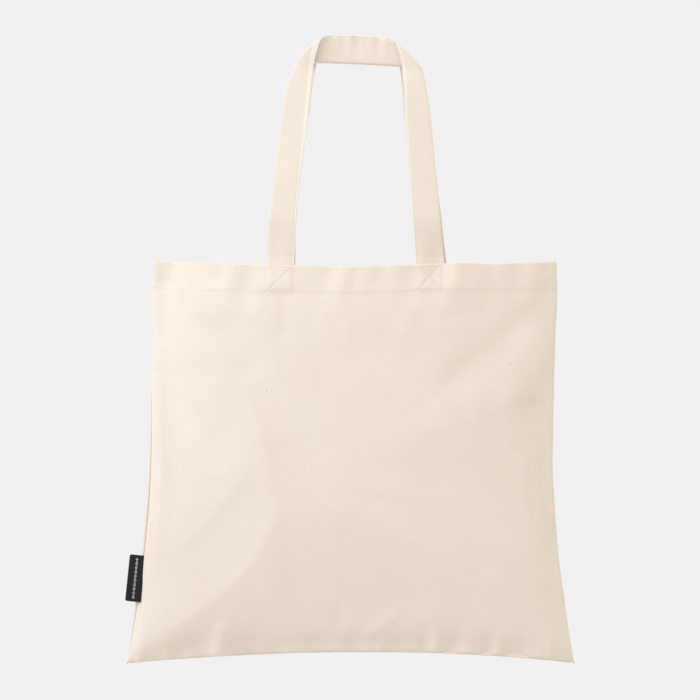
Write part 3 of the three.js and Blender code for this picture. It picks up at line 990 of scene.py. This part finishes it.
def half_strap_stations(hand, rear):
    """Cross lines of half a handle, from its sewn foot to the middle of the band.

    Each station holds its two edge points (x, depth, height), the way its face looks, the cloth's
    thickness and how far its middle bulges over the fold.
    """
    sign = -1 if hand == "left" else 1

    def inset(height):
        if not rear:
            return 0.0
        return blend_value(clamped(height / BAND_LOW), REAR_INSET[hand]) * MM

    stations = []
    foot_inner, foot_outer = LEG_INNER[hand][0][0] * MM, LEG_OUTER[hand][0][0] * MM
    depth = STRAP_THICKNESS / 2
    still = np.zeros(3)
    for height in np.linspace(-HEM_DEPTH - 1 * MM, -1.5 * MM, 12):
        a, b = (foot_inner - inset(0), depth, height), (foot_outer - inset(0), depth, height)
        stations.append((a, b, (0, -1, 0), STRAP_THICKNESS, still, still))
    inner = smooth_path(LEG_INNER[hand], 110)
    outer = smooth_path(LEG_OUTER[hand], 110)
    along = np.array([outer[-1][0] - inner[-1][0], 0, outer[-1][1] - inner[-1][1]])
    away = np.array([-along[2], 0, along[0]]) / np.linalg.norm(along)
    if away[0] < 0:
        away = -away
    bulge = away * FOLD_BULGE[hand] * MM
    middles = (inner + outer) / 2
    to_fold = np.linalg.norm(middles - middles[-1], axis=1)
    for a, b, left in zip(inner, outer, to_fold):
        thickness = TURN_THICKNESS + (STRAP_THICKNESS - TURN_THICKNESS) * soft_step(left / THINNING)
        lifted = bulge * (1 - soft_step(left / (26 * MM)))
        edges = (a[0] - inset(a[1]), depth, a[1]), (b[0] - inset(a[1]), depth, b[1])
        stations.append((*edges, (0, -1, 0), thickness, lifted, still))
    start, end = np.array(stations[-1][0]), np.array(stations[-1][1])
    for step in range(1, 10):
        angle = math.pi * step / 9
        shift = away * TURN_RADIUS * math.sin(angle)
        back = np.array([0, TURN_RADIUS * (1 - math.cos(angle)), 0])
        face = (away[0] * math.sin(angle), -math.cos(angle), away[2] * math.sin(angle))
        edges = tuple(start + shift + back), tuple(end + shift + back)
        stations.append((*edges, face, TURN_THICKNESS, bulge, shift))
    over = smooth_path(BAND_OVER[hand], 54)
    under = smooth_path(BAND_UNDER[hand], 54)
    middles = (over + under) / 2
    from_fold = np.linalg.norm(middles - middles[0], axis=1)
    for a, b, gone in list(zip(over, under, from_fold))[1:]:
        thickness = TURN_THICKNESS + (STRAP_THICKNESS - TURN_THICKNESS) * soft_step(gone / THINNING)
        behind = depth + 2 * TURN_RADIUS + BAND_RECESS * soft_step(gone / (20 * MM))
        lifted = bulge * (1 - soft_step(gone / (22 * MM)))
        tuck = inset(BAND_LOW) * min(a[0] / (34 * MM), 1)
        edges = (a[0] - tuck, behind, a[1]), (b[0] - tuck, behind, b[1])
        stations.append((*edges, (0, 1, 0), thickness, lifted, still))
    mirror = np.array([sign, 1.0, 1.0])
    return [
        (mirror * a, mirror * b, mirror * face, thickness, mirror * lifted, mirror * turned)
        for a, b, face, thickness, lifted, turned in stations
    ]


# The woven edge: a small bead and a groove beside it (height, distance from the edge and half width, in mm).
EDGE_BEAD, EDGE_GROOVE = (0.28, 0.75, 0.5), (-0.22, 1.75, 0.4)
EDGE_POINTS = np.array([1.0, 1.35, 1.7, 2.1, 2.6]) * MM


def strap_loop(width, thickness, points=9):
    """Outline of the strap's cross section: flat faces and rounded edges, as (across, out) pairs."""
    half, radius = width / 2, thickness / 2
    edge = 0.55 * radius
    open_part = np.linspace(-half + 4 * MM, half - edge, points)
    flat = np.r_[-half + edge, -half + EDGE_POINTS, open_part]
    from_edge = (flat + half) / MM
    shapes = (EDGE_BEAD, EDGE_GROOVE)
    rise = sum(size * MM * np.exp(-(((from_edge - at) / wide) ** 2)) for size, at, wide in shapes)
    faces = [(u, radius + up) for u, up in zip(flat, rise)]

    def rounded(way, angles):
        turns = [math.radians(angle) for angle in angles]
        return [(way * (half - edge) + edge * math.cos(t), radius * math.sin(t)) for t in turns]

    loop = faces + rounded(1, (60, 30, 0, -30, -60))
    return loop + [(u, -v) for u, v in faces[::-1]] + rounded(-1, (240, 210, 180, 150, 120))


def lean_shift(height):
    """How far a strap has moved inwards at a height above its foot: it bends softly, then runs straight.

    The band above the fold tips forward a little.
    """
    slope = FORWARD_LEAN * math.sin(STRAP_LEAN)
    if height <= 0:
        return 0.0
    if height < BEND_HEIGHT:
        return slope * height**2 / (2 * BEND_HEIGHT)
    straight = min(height, BAND_LOW - 6 * MM) - BEND_HEIGHT / 2
    return slope * straight - BAND_TIP * max(height - BAND_LOW + 6 * MM, 0)


FOLLOW_HEM = 45 * MM


def strap_place(point, side, shift, surface):
    """From the strap's own (x, depth, height) to the row frame. Its foot follows the hem it is sewn into."""
    x, depth, height = point
    sign = 1 if side == "front" else -1
    y = STRAP_LOW.y + depth + lean_shift(height)
    z = FOOT_Z + height * math.cos(STRAP_LEAN) if height > 0 else FOOT_Z + height
    z -= depth * math.sin(STRAP_LEAN) * clamped(height / BEND_HEIGHT)
    grid = surface[0]
    row = grid[int(np.searchsorted(ROWS, FLAT_HEIGHT + min(height - 3 * MM, -2 * MM)))]
    hem_y = sign * np.interp(x + shift, row[::sign, 0], row[::sign, 1])
    behind = hem_y + CLOTH + 0.25 * MM - STRAP_LOW.y
    return np.array([x + shift, sign * (y + behind * (1 - soft_step(height / FOLLOW_HEM))), z])


def strap_wave(point, u, band):
    """Small unevenness of the cloth: puckers at the band's upper edge, a slow twist along the legs."""
    x, height = point[0] / MM, point[2]
    if band:
        rise = clamped((height - BAND_LOW) / STRAP_WIDTH) ** 1.3
        fade = clamped((36 - abs(x)) / 12)
        return 0.62 * MM * rise * fade * (math.sin(x / 2.6 + 0.6) + 0.6 * math.sin(x / 1.7 + 2.0))
    free = soft_step(height / (50 * MM)) * soft_step((BAND_LOW - height) / (30 * MM))
    twist = RIGHT_TWIST * u * free if x > 0 else 0.0
    twist += 0.35 * MM * math.exp(-(((height / MM - 5) / 1.4) ** 2))
    return twist + 0.3 * MM * math.sin(height / (17 * MM) + u / (9 * MM)) * soft_step(height / (30 * MM))


REAR_SHIFT = 1.5 * MM


def add_strap(side, surface):
    """A whole handle as one folded strip of doubled cloth. Returns the piece and its length."""
    rear = side == "back"
    shift = REAR_SHIFT if rear else 0.0
    stations = half_strap_stations("left", rear) + half_strap_stations("right", rear)[::-1][1:]
    verts, uvs = [], []
    travelled = 0.0
    previous = None
    for a, b, face, thickness, lifted, turned in stations:
        middle = (a + b) / 2
        if previous is not None:
            travelled += np.linalg.norm(middle - previous)
        previous = middle
        width = np.linalg.norm(b - a)
        across = (b - a) / width
        face = face - across * face.dot(across)
        face /= np.linalg.norm(face)
        band = face[1] > 0.99
        for u, v in strap_loop(width, thickness):
            reach = 2 * u / width
            p = middle + across * u + face * v + lifted * (1 - reach**2) - turned * reach**8
            p[1] += strap_wave(p, u, band)
            verts.append(strap_place(p, side, shift, surface))
            uvs.append(((u + STRAP_WIDTH) / UV_SCALE, (travelled + (0.06 if v > 0 else 0.0)) / UV_SCALE))
    loop = len(strap_loop(STRAP_WIDTH, STRAP_THICKNESS))
    count = len(stations)
    faces = []
    for k in range(count - 1):
        for i in range(loop):
            a, b = k * loop + i, k * loop + (i + 1) % loop
            faces.append((a, a + loop, b + loop, b))
    faces.append(tuple(range(loop)))
    faces.append(tuple((count - 1) * loop + i for i in reversed(range(loop))))
    if rear:
        faces = [f[::-1] for f in faces]
    return new_object(f"{side}_strap_cloth", lean(verts), faces, uvs), travelled


# ------------------------------------------------------------------ seam allowances and label


ALLOWANCE_GAP = 1.0 * MM


def add_allowance(name, surface, across, above):
    """A strip of doubled cloth pressed against the inside of the front panel."""
    a, b = np.meshgrid(across, above)
    points, normals = sample(surface, a.ravel(), b.ravel())
    shape = a.shape + (3,)
    points, normals = points.reshape(shape), normals.reshape(shape)
    near = points - normals * (CLOTH + ALLOWANCE_GAP)
    far = near - normals * (2 * CLOTH)
    return closed_sheet(name, lean(near), lean(far), cloth_uv(across, above))


LABEL_HEIGHT = 43 * MM
LABEL_REACH = 12.3 * MM
LABEL_TILT = 0.104
LABEL_SHIFT = Vector((1.5 * MM, 0, 3.3 * MM))
LABEL_LEAF, LABEL_GAP, LABEL_TUCK = 0.45 * MM, 0.25 * MM, 2.2 * MM
LABEL_BOW = 0.5 * MM
LABEL_CORNER, LABEL_CORNER_PULL = 1.4 * MM, 1.1 * MM
LABEL_ROWS, LEAF_POINTS = 44, 28


def label_frame():
    axis = Vector((LABEL_TILT, 0, 1)).normalized()
    origin = Vector(JOINTS["label_flex"]["pos_m"]) + LABEL_SHIFT
    return origin, axis, Vector((-axis.z, 0, axis.x))


def label_bow(across, along):
    """How far the label bends forward at a place on it."""
    reach = max(0.0, across / LABEL_REACH) ** 1.5
    return LABEL_BOW * math.sin(math.pi * (along / LABEL_HEIGHT + 0.5)) * reach


def folded_profile(radius, reach):
    """Section of a tape folded in two, as (outward, sideways) pairs: front leaf, turn, rear leaf."""
    leaf = np.linspace(-LABEL_TUCK, reach, LEAF_POINTS)
    turns = np.radians(np.linspace(-80, 80, 9))
    profile = [(t, -radius) for t in leaf]
    profile += [(reach + radius * math.cos(t), radius * math.sin(t)) for t in turns]
    return profile + [(t, radius) for t in leaf[::-1]]


def add_label():
    """Black woven tape folded in two, with the turn at its outer end."""
    origin, axis, outward = label_frame()
    radius = LABEL_LEAF + LABEL_GAP / 2
    rows = np.linspace(-LABEL_HEIGHT / 2, LABEL_HEIGHT / 2, LABEL_ROWS)

    def place(across, side, along):
        corner = max(0.0, abs(along) - LABEL_HEIGHT / 2 + LABEL_CORNER) / LABEL_CORNER
        pull = LABEL_CORNER_PULL * corner**3 * max(0.0, across / LABEL_REACH) ** 4
        back = Vector((0, side - label_bow(across, along), 0))
        return origin + outward * (across - pull) + axis * along + back

    outer_profile, inner_profile = (folded_profile(r, LABEL_REACH - radius) for r in (radius, LABEL_GAP / 2))
    outer, inner = (
        np.array([[place(across, side, along) for across, side in profile] for along in rows])
        for profile in (outer_profile, inner_profile)
    )
    steps = [math.dist(a, b) for a, b in zip(outer_profile, outer_profile[1:])]
    uv = cloth_uv(np.r_[0, np.cumsum(steps)], rows - rows[0])
    return closed_sheet("side_label_tape", outer, inner, uv, flip=True)


MARK_PLACES, MARK_PITCH, MARK_HALF = 19, 1.95 * MM, 1.15 * MM
MARK_MIDDLE = 0.42 * LABEL_REACH
MARK_LIFT = 0.575 * MM
# Half sizes of the large and the small diamond: across as a share of MARK_HALF, along in mm.
DIAMONDS = ((1, 0.95), (0.4, 0.4))


def add_label_mark():
    """A plain woven border on the label's front leaf: large and small diamonds in turn, and no lettering."""
    origin, axis, outward = label_frame()
    runs = []
    for i in range(MARK_PLACES):
        middle = (i - MARK_PLACES // 2) * MARK_PITCH
        wide, tall = DIAMONDS[i % 2]
        corners = [(-wide, 0), (0, tall), (wide, 0), (0, -tall), (-wide, 0)]
        for (u0, v0), (u1, v1) in zip(corners, corners[1:]):
            points = []
            for t in np.linspace(0, 1, 5):
                across = MARK_MIDDLE + (u0 + (u1 - u0) * t) * MARK_HALF
                along = middle + (v0 + (v1 - v0) * t) * MM
                forward = Vector((0, -MARK_LIFT - label_bow(across, along), 0))
                points.append(np.array(origin + outward * across + axis * along + forward))
            normals = [np.array([0, -1.0, 0])] * len(points)
            size = math.dist(points[0], points[-1])
            runs.append(stitch_run(points, normals, radius=0.2 * MM, length=size, gap=0.04 * MM, sink=0.3))
    return merge_runs("side_label_border", runs, leaning=False)


TAIL_WIDTH, TAIL_THICKNESS = 8 * MM, 1 * MM


def add_label_tail():
    """The part of the label that is sewn into the seam."""
    low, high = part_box("side_label_root")
    _, axis, outward = label_frame()
    tall, wide, thick = axis * LABEL_HEIGHT, outward * TAIL_WIDTH, Vector((0, TAIL_THICKNESS, 0))
    ends = (-0.5, 0.5)
    verts = [(low + high) / 2 + tall * a + wide * b + thick * c for a in ends for b in ends for c in ends]
    faces = [(0, 1, 3, 2), (4, 6, 7, 5), (0, 4, 5, 1), (2, 3, 7, 6), (0, 2, 6, 4), (1, 5, 7, 3)]
    return new_object("side_label_tail", [tuple(v) for v in verts], faces, smooth=False)


# ------------------------------------------------------------------ materials


class Look:
    """A material under construction, with short ways to add the nodes that the materials share."""

    def __init__(self, name, **values):
        self.material = bpy.data.materials.new(name)
        self.material.use_nodes = True
        tree = self.material.node_tree
        self.nodes, self.links = tree.nodes, tree.links
        self.shader = self.nodes["Principled BSDF"]
        for socket, value in values.items():
            self.shader.inputs[socket.replace("_", " ")].default_value = value

    def add(self, kind, inputs=()):
        """A new node. Each input is a plain value, a colour or another node's output."""
        node = self.nodes.new(kind)
        for socket, value in dict(inputs).items():
            self.feed(node.inputs[socket], value)
        return node

    def feed(self, socket, value):
        if isinstance(value, bpy.types.NodeSocket):
            self.links.new(value, socket)
        else:
            socket.default_value = value

    def maths(self, operation, *values):
        node = self.add("ShaderNodeMath", enumerate(values))
        node.operation = operation
        return node.outputs[0]

    def times(self, a, b):
        return self.maths("MULTIPLY", a, b)

    def total(self, *parts):
        """Sum of (value, weight) pairs."""
        weighted = [self.times(value, weight) for value, weight in parts]
        result = weighted[0]
        for part in weighted[1:]:
            result = self.maths("ADD", result, part)
        return result

    def noise(self, vector, scale, detail, roughness=0.55):
        inputs = {"Vector": vector, "Scale": scale, "Detail": detail, "Roughness": roughness}
        return self.add("ShaderNodeTexNoise", inputs).outputs["Fac"]

    def stretched(self, vector, x, y):
        return self.add("ShaderNodeMapping", {"Vector": vector, "Scale": (x, y, 1)}).outputs[0]

    def mix(self, factor, a, b):
        node = self.nodes.new("ShaderNodeMix")
        node.data_type = "RGBA"
        self.links.new(factor, node.inputs["Factor"])
        for socket, value in ((node.inputs[6], a), (node.inputs[7], b)):
            self.feed(socket, (*value, 1) if isinstance(value, tuple) else value)
        return node.outputs[2]

    def threshold(self, value, low, high):
        node = self.add("ShaderNodeMapRange", {"Value": value, "From Min": low, "From Max": high})
        node.interpolation_type = "SMOOTHSTEP"
        return node.outputs["Result"]

    def bumps(self, height, strength, distance):
        node = self.add("ShaderNodeBump", {"Height": height, "Strength": strength, "Distance": distance})
        self.links.new(node.outputs[0], self.shader.inputs["Normal"])


THREAD_PITCH = 0.62 * MM


def canvas_material(name, light, dark, fleck, pitch=THREAD_PITCH, bump=0.16, fleck_amount=1.0, selvedge=None):
    """Plain weave: threads over and under, uneven yarn, slubs, and a few seed flecks."""
    look = Look(name, Specular_IOR_Level=0.25, Sheen_Weight=0.12, Sheen_Roughness=0.6)
    uv = look.add("ShaderNodeUVMap")
    uv.uv_map = "UVMap"
    cloth = look.stretched(uv.outputs["UV"], UV_SCALE / MM, UV_SCALE / MM)
    split = look.add("ShaderNodeSeparateXYZ", {0: cloth})
    drift = look.times(look.noise(cloth, 0.11, 2), 1.1)
    turn = math.pi / (pitch / MM)
    waves = [look.maths("SINE", look.times(look.maths("ADD", split.outputs[i], drift), turn)) for i in (0, 1)]
    warp, weft = (look.maths("ABSOLUTE", wave) for wave in waves)
    weave = look.total((look.times(*waves), 0.35), (warp, 0.5), (weft, 0.5))
    yarns = (look.stretched(cloth, 1.25, 0.09), look.stretched(cloth, 0.09, 1.25))
    slubs = look.maths("ADD", *(look.noise(yarn, 1.0, 2) for yarn in yarns))
    grain = look.noise(cloth, 0.9, 4, 0.65)
    broad = look.noise(cloth, 0.02, 2)
    tone = look.total((grain, 0.45), (slubs, 0.28), (broad, 0.22), (weave, 0.1))
    body = look.mix(look.threshold(tone, 0.42, 0.86), dark, light)
    flecks = {"Vector": look.stretched(cloth, 1.0, 0.55), "Scale": 0.07, "Randomness": 1.0}
    spot = look.threshold(look.add("ShaderNodeTexVoronoi", flecks).outputs["Distance"], 0.05, 0.02)
    rare = look.threshold(look.noise(cloth, 0.013, 1), 0.5, 0.62)
    body = look.mix(look.times(look.times(spot, rare), 0.5 * fleck_amount), body, fleck)
    if selvedge:
        edge = look.threshold(split.outputs[0], selvedge + 0.4, selvedge)
        body = look.mix(look.times(edge, 0.75), body, SELVEDGE)
    look.feed(look.shader.inputs["Base Color"], body)
    look.feed(look.shader.inputs["Roughness"], look.maths("ADD", look.times(weave, -0.06), 0.93))
    look.bumps(look.total((weave, 0.6), (slubs, 0.5), (grain, 0.4)), bump, 0.35 * MM)
    return look.material


def thread_material(name, colour, shade):
    """Twisted sewing thread: fine ply marks along it and a soft sheen."""
    look = Look(name, Roughness=0.7, Sheen_Weight=0.2)
    grain = look.noise(look.add("ShaderNodeTexCoord").outputs["Object"], 2600, 2)
    look.feed(look.shader.inputs["Base Color"], look.mix(grain, shade, colour))
    look.bumps(grain, 0.3, 0.1 * MM)
    return look.material


CREAM_LIGHT = (0.832, 0.716, 0.602)
CREAM_DARK = (0.765, 0.644, 0.526)
FLECK = (0.33, 0.22, 0.12)
SELVEDGE = (0.88, 0.8, 0.7)
CREAMS = CREAM_LIGHT, CREAM_DARK, FLECK
BLACKS = (0.0135, 0.012, 0.0115), (0.006, 0.0055, 0.005), (0.01, 0.01, 0.01)


def make_materials():
    return {
        "canvas": canvas_material("canvas", *CREAMS),
        "strap": canvas_material("strap_canvas", *CREAMS, fleck_amount=0.5, selvedge=12.9),
        "thread": thread_material("sewing_thread", (0.86, 0.77, 0.65), (0.78, 0.69, 0.57)),
        "tape": canvas_material("label_tape", *BLACKS, pitch=0.3 * MM, bump=0.3),
        "mark": thread_material("label_thread", (0.93, 0.93, 0.9), (0.76, 0.76, 0.74)),
    }


def finish_piece(piece, material, slot, *nodes, body="bag"):
    piece.data.materials.append(material)
    if nodes:
        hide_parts(*nodes)
    if body:
        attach(piece, body)
    return piece


# ------------------------------------------------------------------ assembly


def add_side(side, surface, materials):
    """One panel with its hem, stitching and handle."""
    panel = add_panel(side, surface)
    finish_piece(panel, materials["canvas"], "canvas", f"{side}_panel", f"{side}_hem")
    stitching = add_hem_stitching(side, surface)
    finish_piece(stitching, materials["thread"], "thread", f"{side}_hem_stitching")
    hands = ("left", "right") if side == "front" else ("right", "left")
    for hand, centre in zip(hands, STRAP_CENTRES):
        shift = 0 if side == "front" else -REAR_SHIFT
        name = f"{side}_{hand}_box_stitching"
        stitches = add_box_stitching(surface, f"{name}_thread", centre + shift)
        finish_piece(stitches, materials["thread"], "thread", name)
    strap, length = add_strap(side, surface)
    nodes = (f"{side}_strap", f"{side}_left_strap_end", f"{side}_right_strap_end")
    finish_piece(strap, materials["strap"], "strap_canvas", *nodes, body=None)
    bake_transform(strap)


def add_allowances(surface, materials):
    """The seam allowances inside the bag, pressed to the front panel."""
    tall = np.linspace(14 * MM, FLAT_HEIGHT - HEM_DEPTH - 4 * MM, 120)
    wide = np.linspace(24 * MM, FLAT_WIDTH - 24 * MM, 150)
    strip = np.linspace(3 * MM, 3 * MM + ALLOWANCE_WIDTH, 6)
    places = {"left": (strip, tall), "right": (FLAT_WIDTH - strip[::-1], tall), "bottom": (wide, strip)}
    for name, (across, above) in places.items():
        piece = add_allowance(f"{name}_seam_allowance_cloth", surface, across, above)
        finish_piece(piece, materials["canvas"], "canvas", f"{name}_seam_allowance")


def add_whole_label(materials):
    """The label bends near the seam, and its tail stays in it."""
    label = finish_piece(add_label(), materials["tape"], "label_tape", "side_label", body=None)
    border = finish_piece(add_label_mark(), materials["mark"], "thread", body=None)
    for piece in (label, border):
        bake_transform(piece)
    finish_piece(add_label_tail(), materials["tape"], "label_tape", "side_label_root")


def build():
    add_studio()
    materials = make_materials()
    wrinkles = simulated_wrinkles()
    surfaces = {side: panel_surface(side, wrinkles) for side in ("front", "back")}
    for side, surface in surfaces.items():
        add_side(side, surface, materials)
    add_allowances(surfaces["front"], materials)
    add_whole_label(materials)


build()
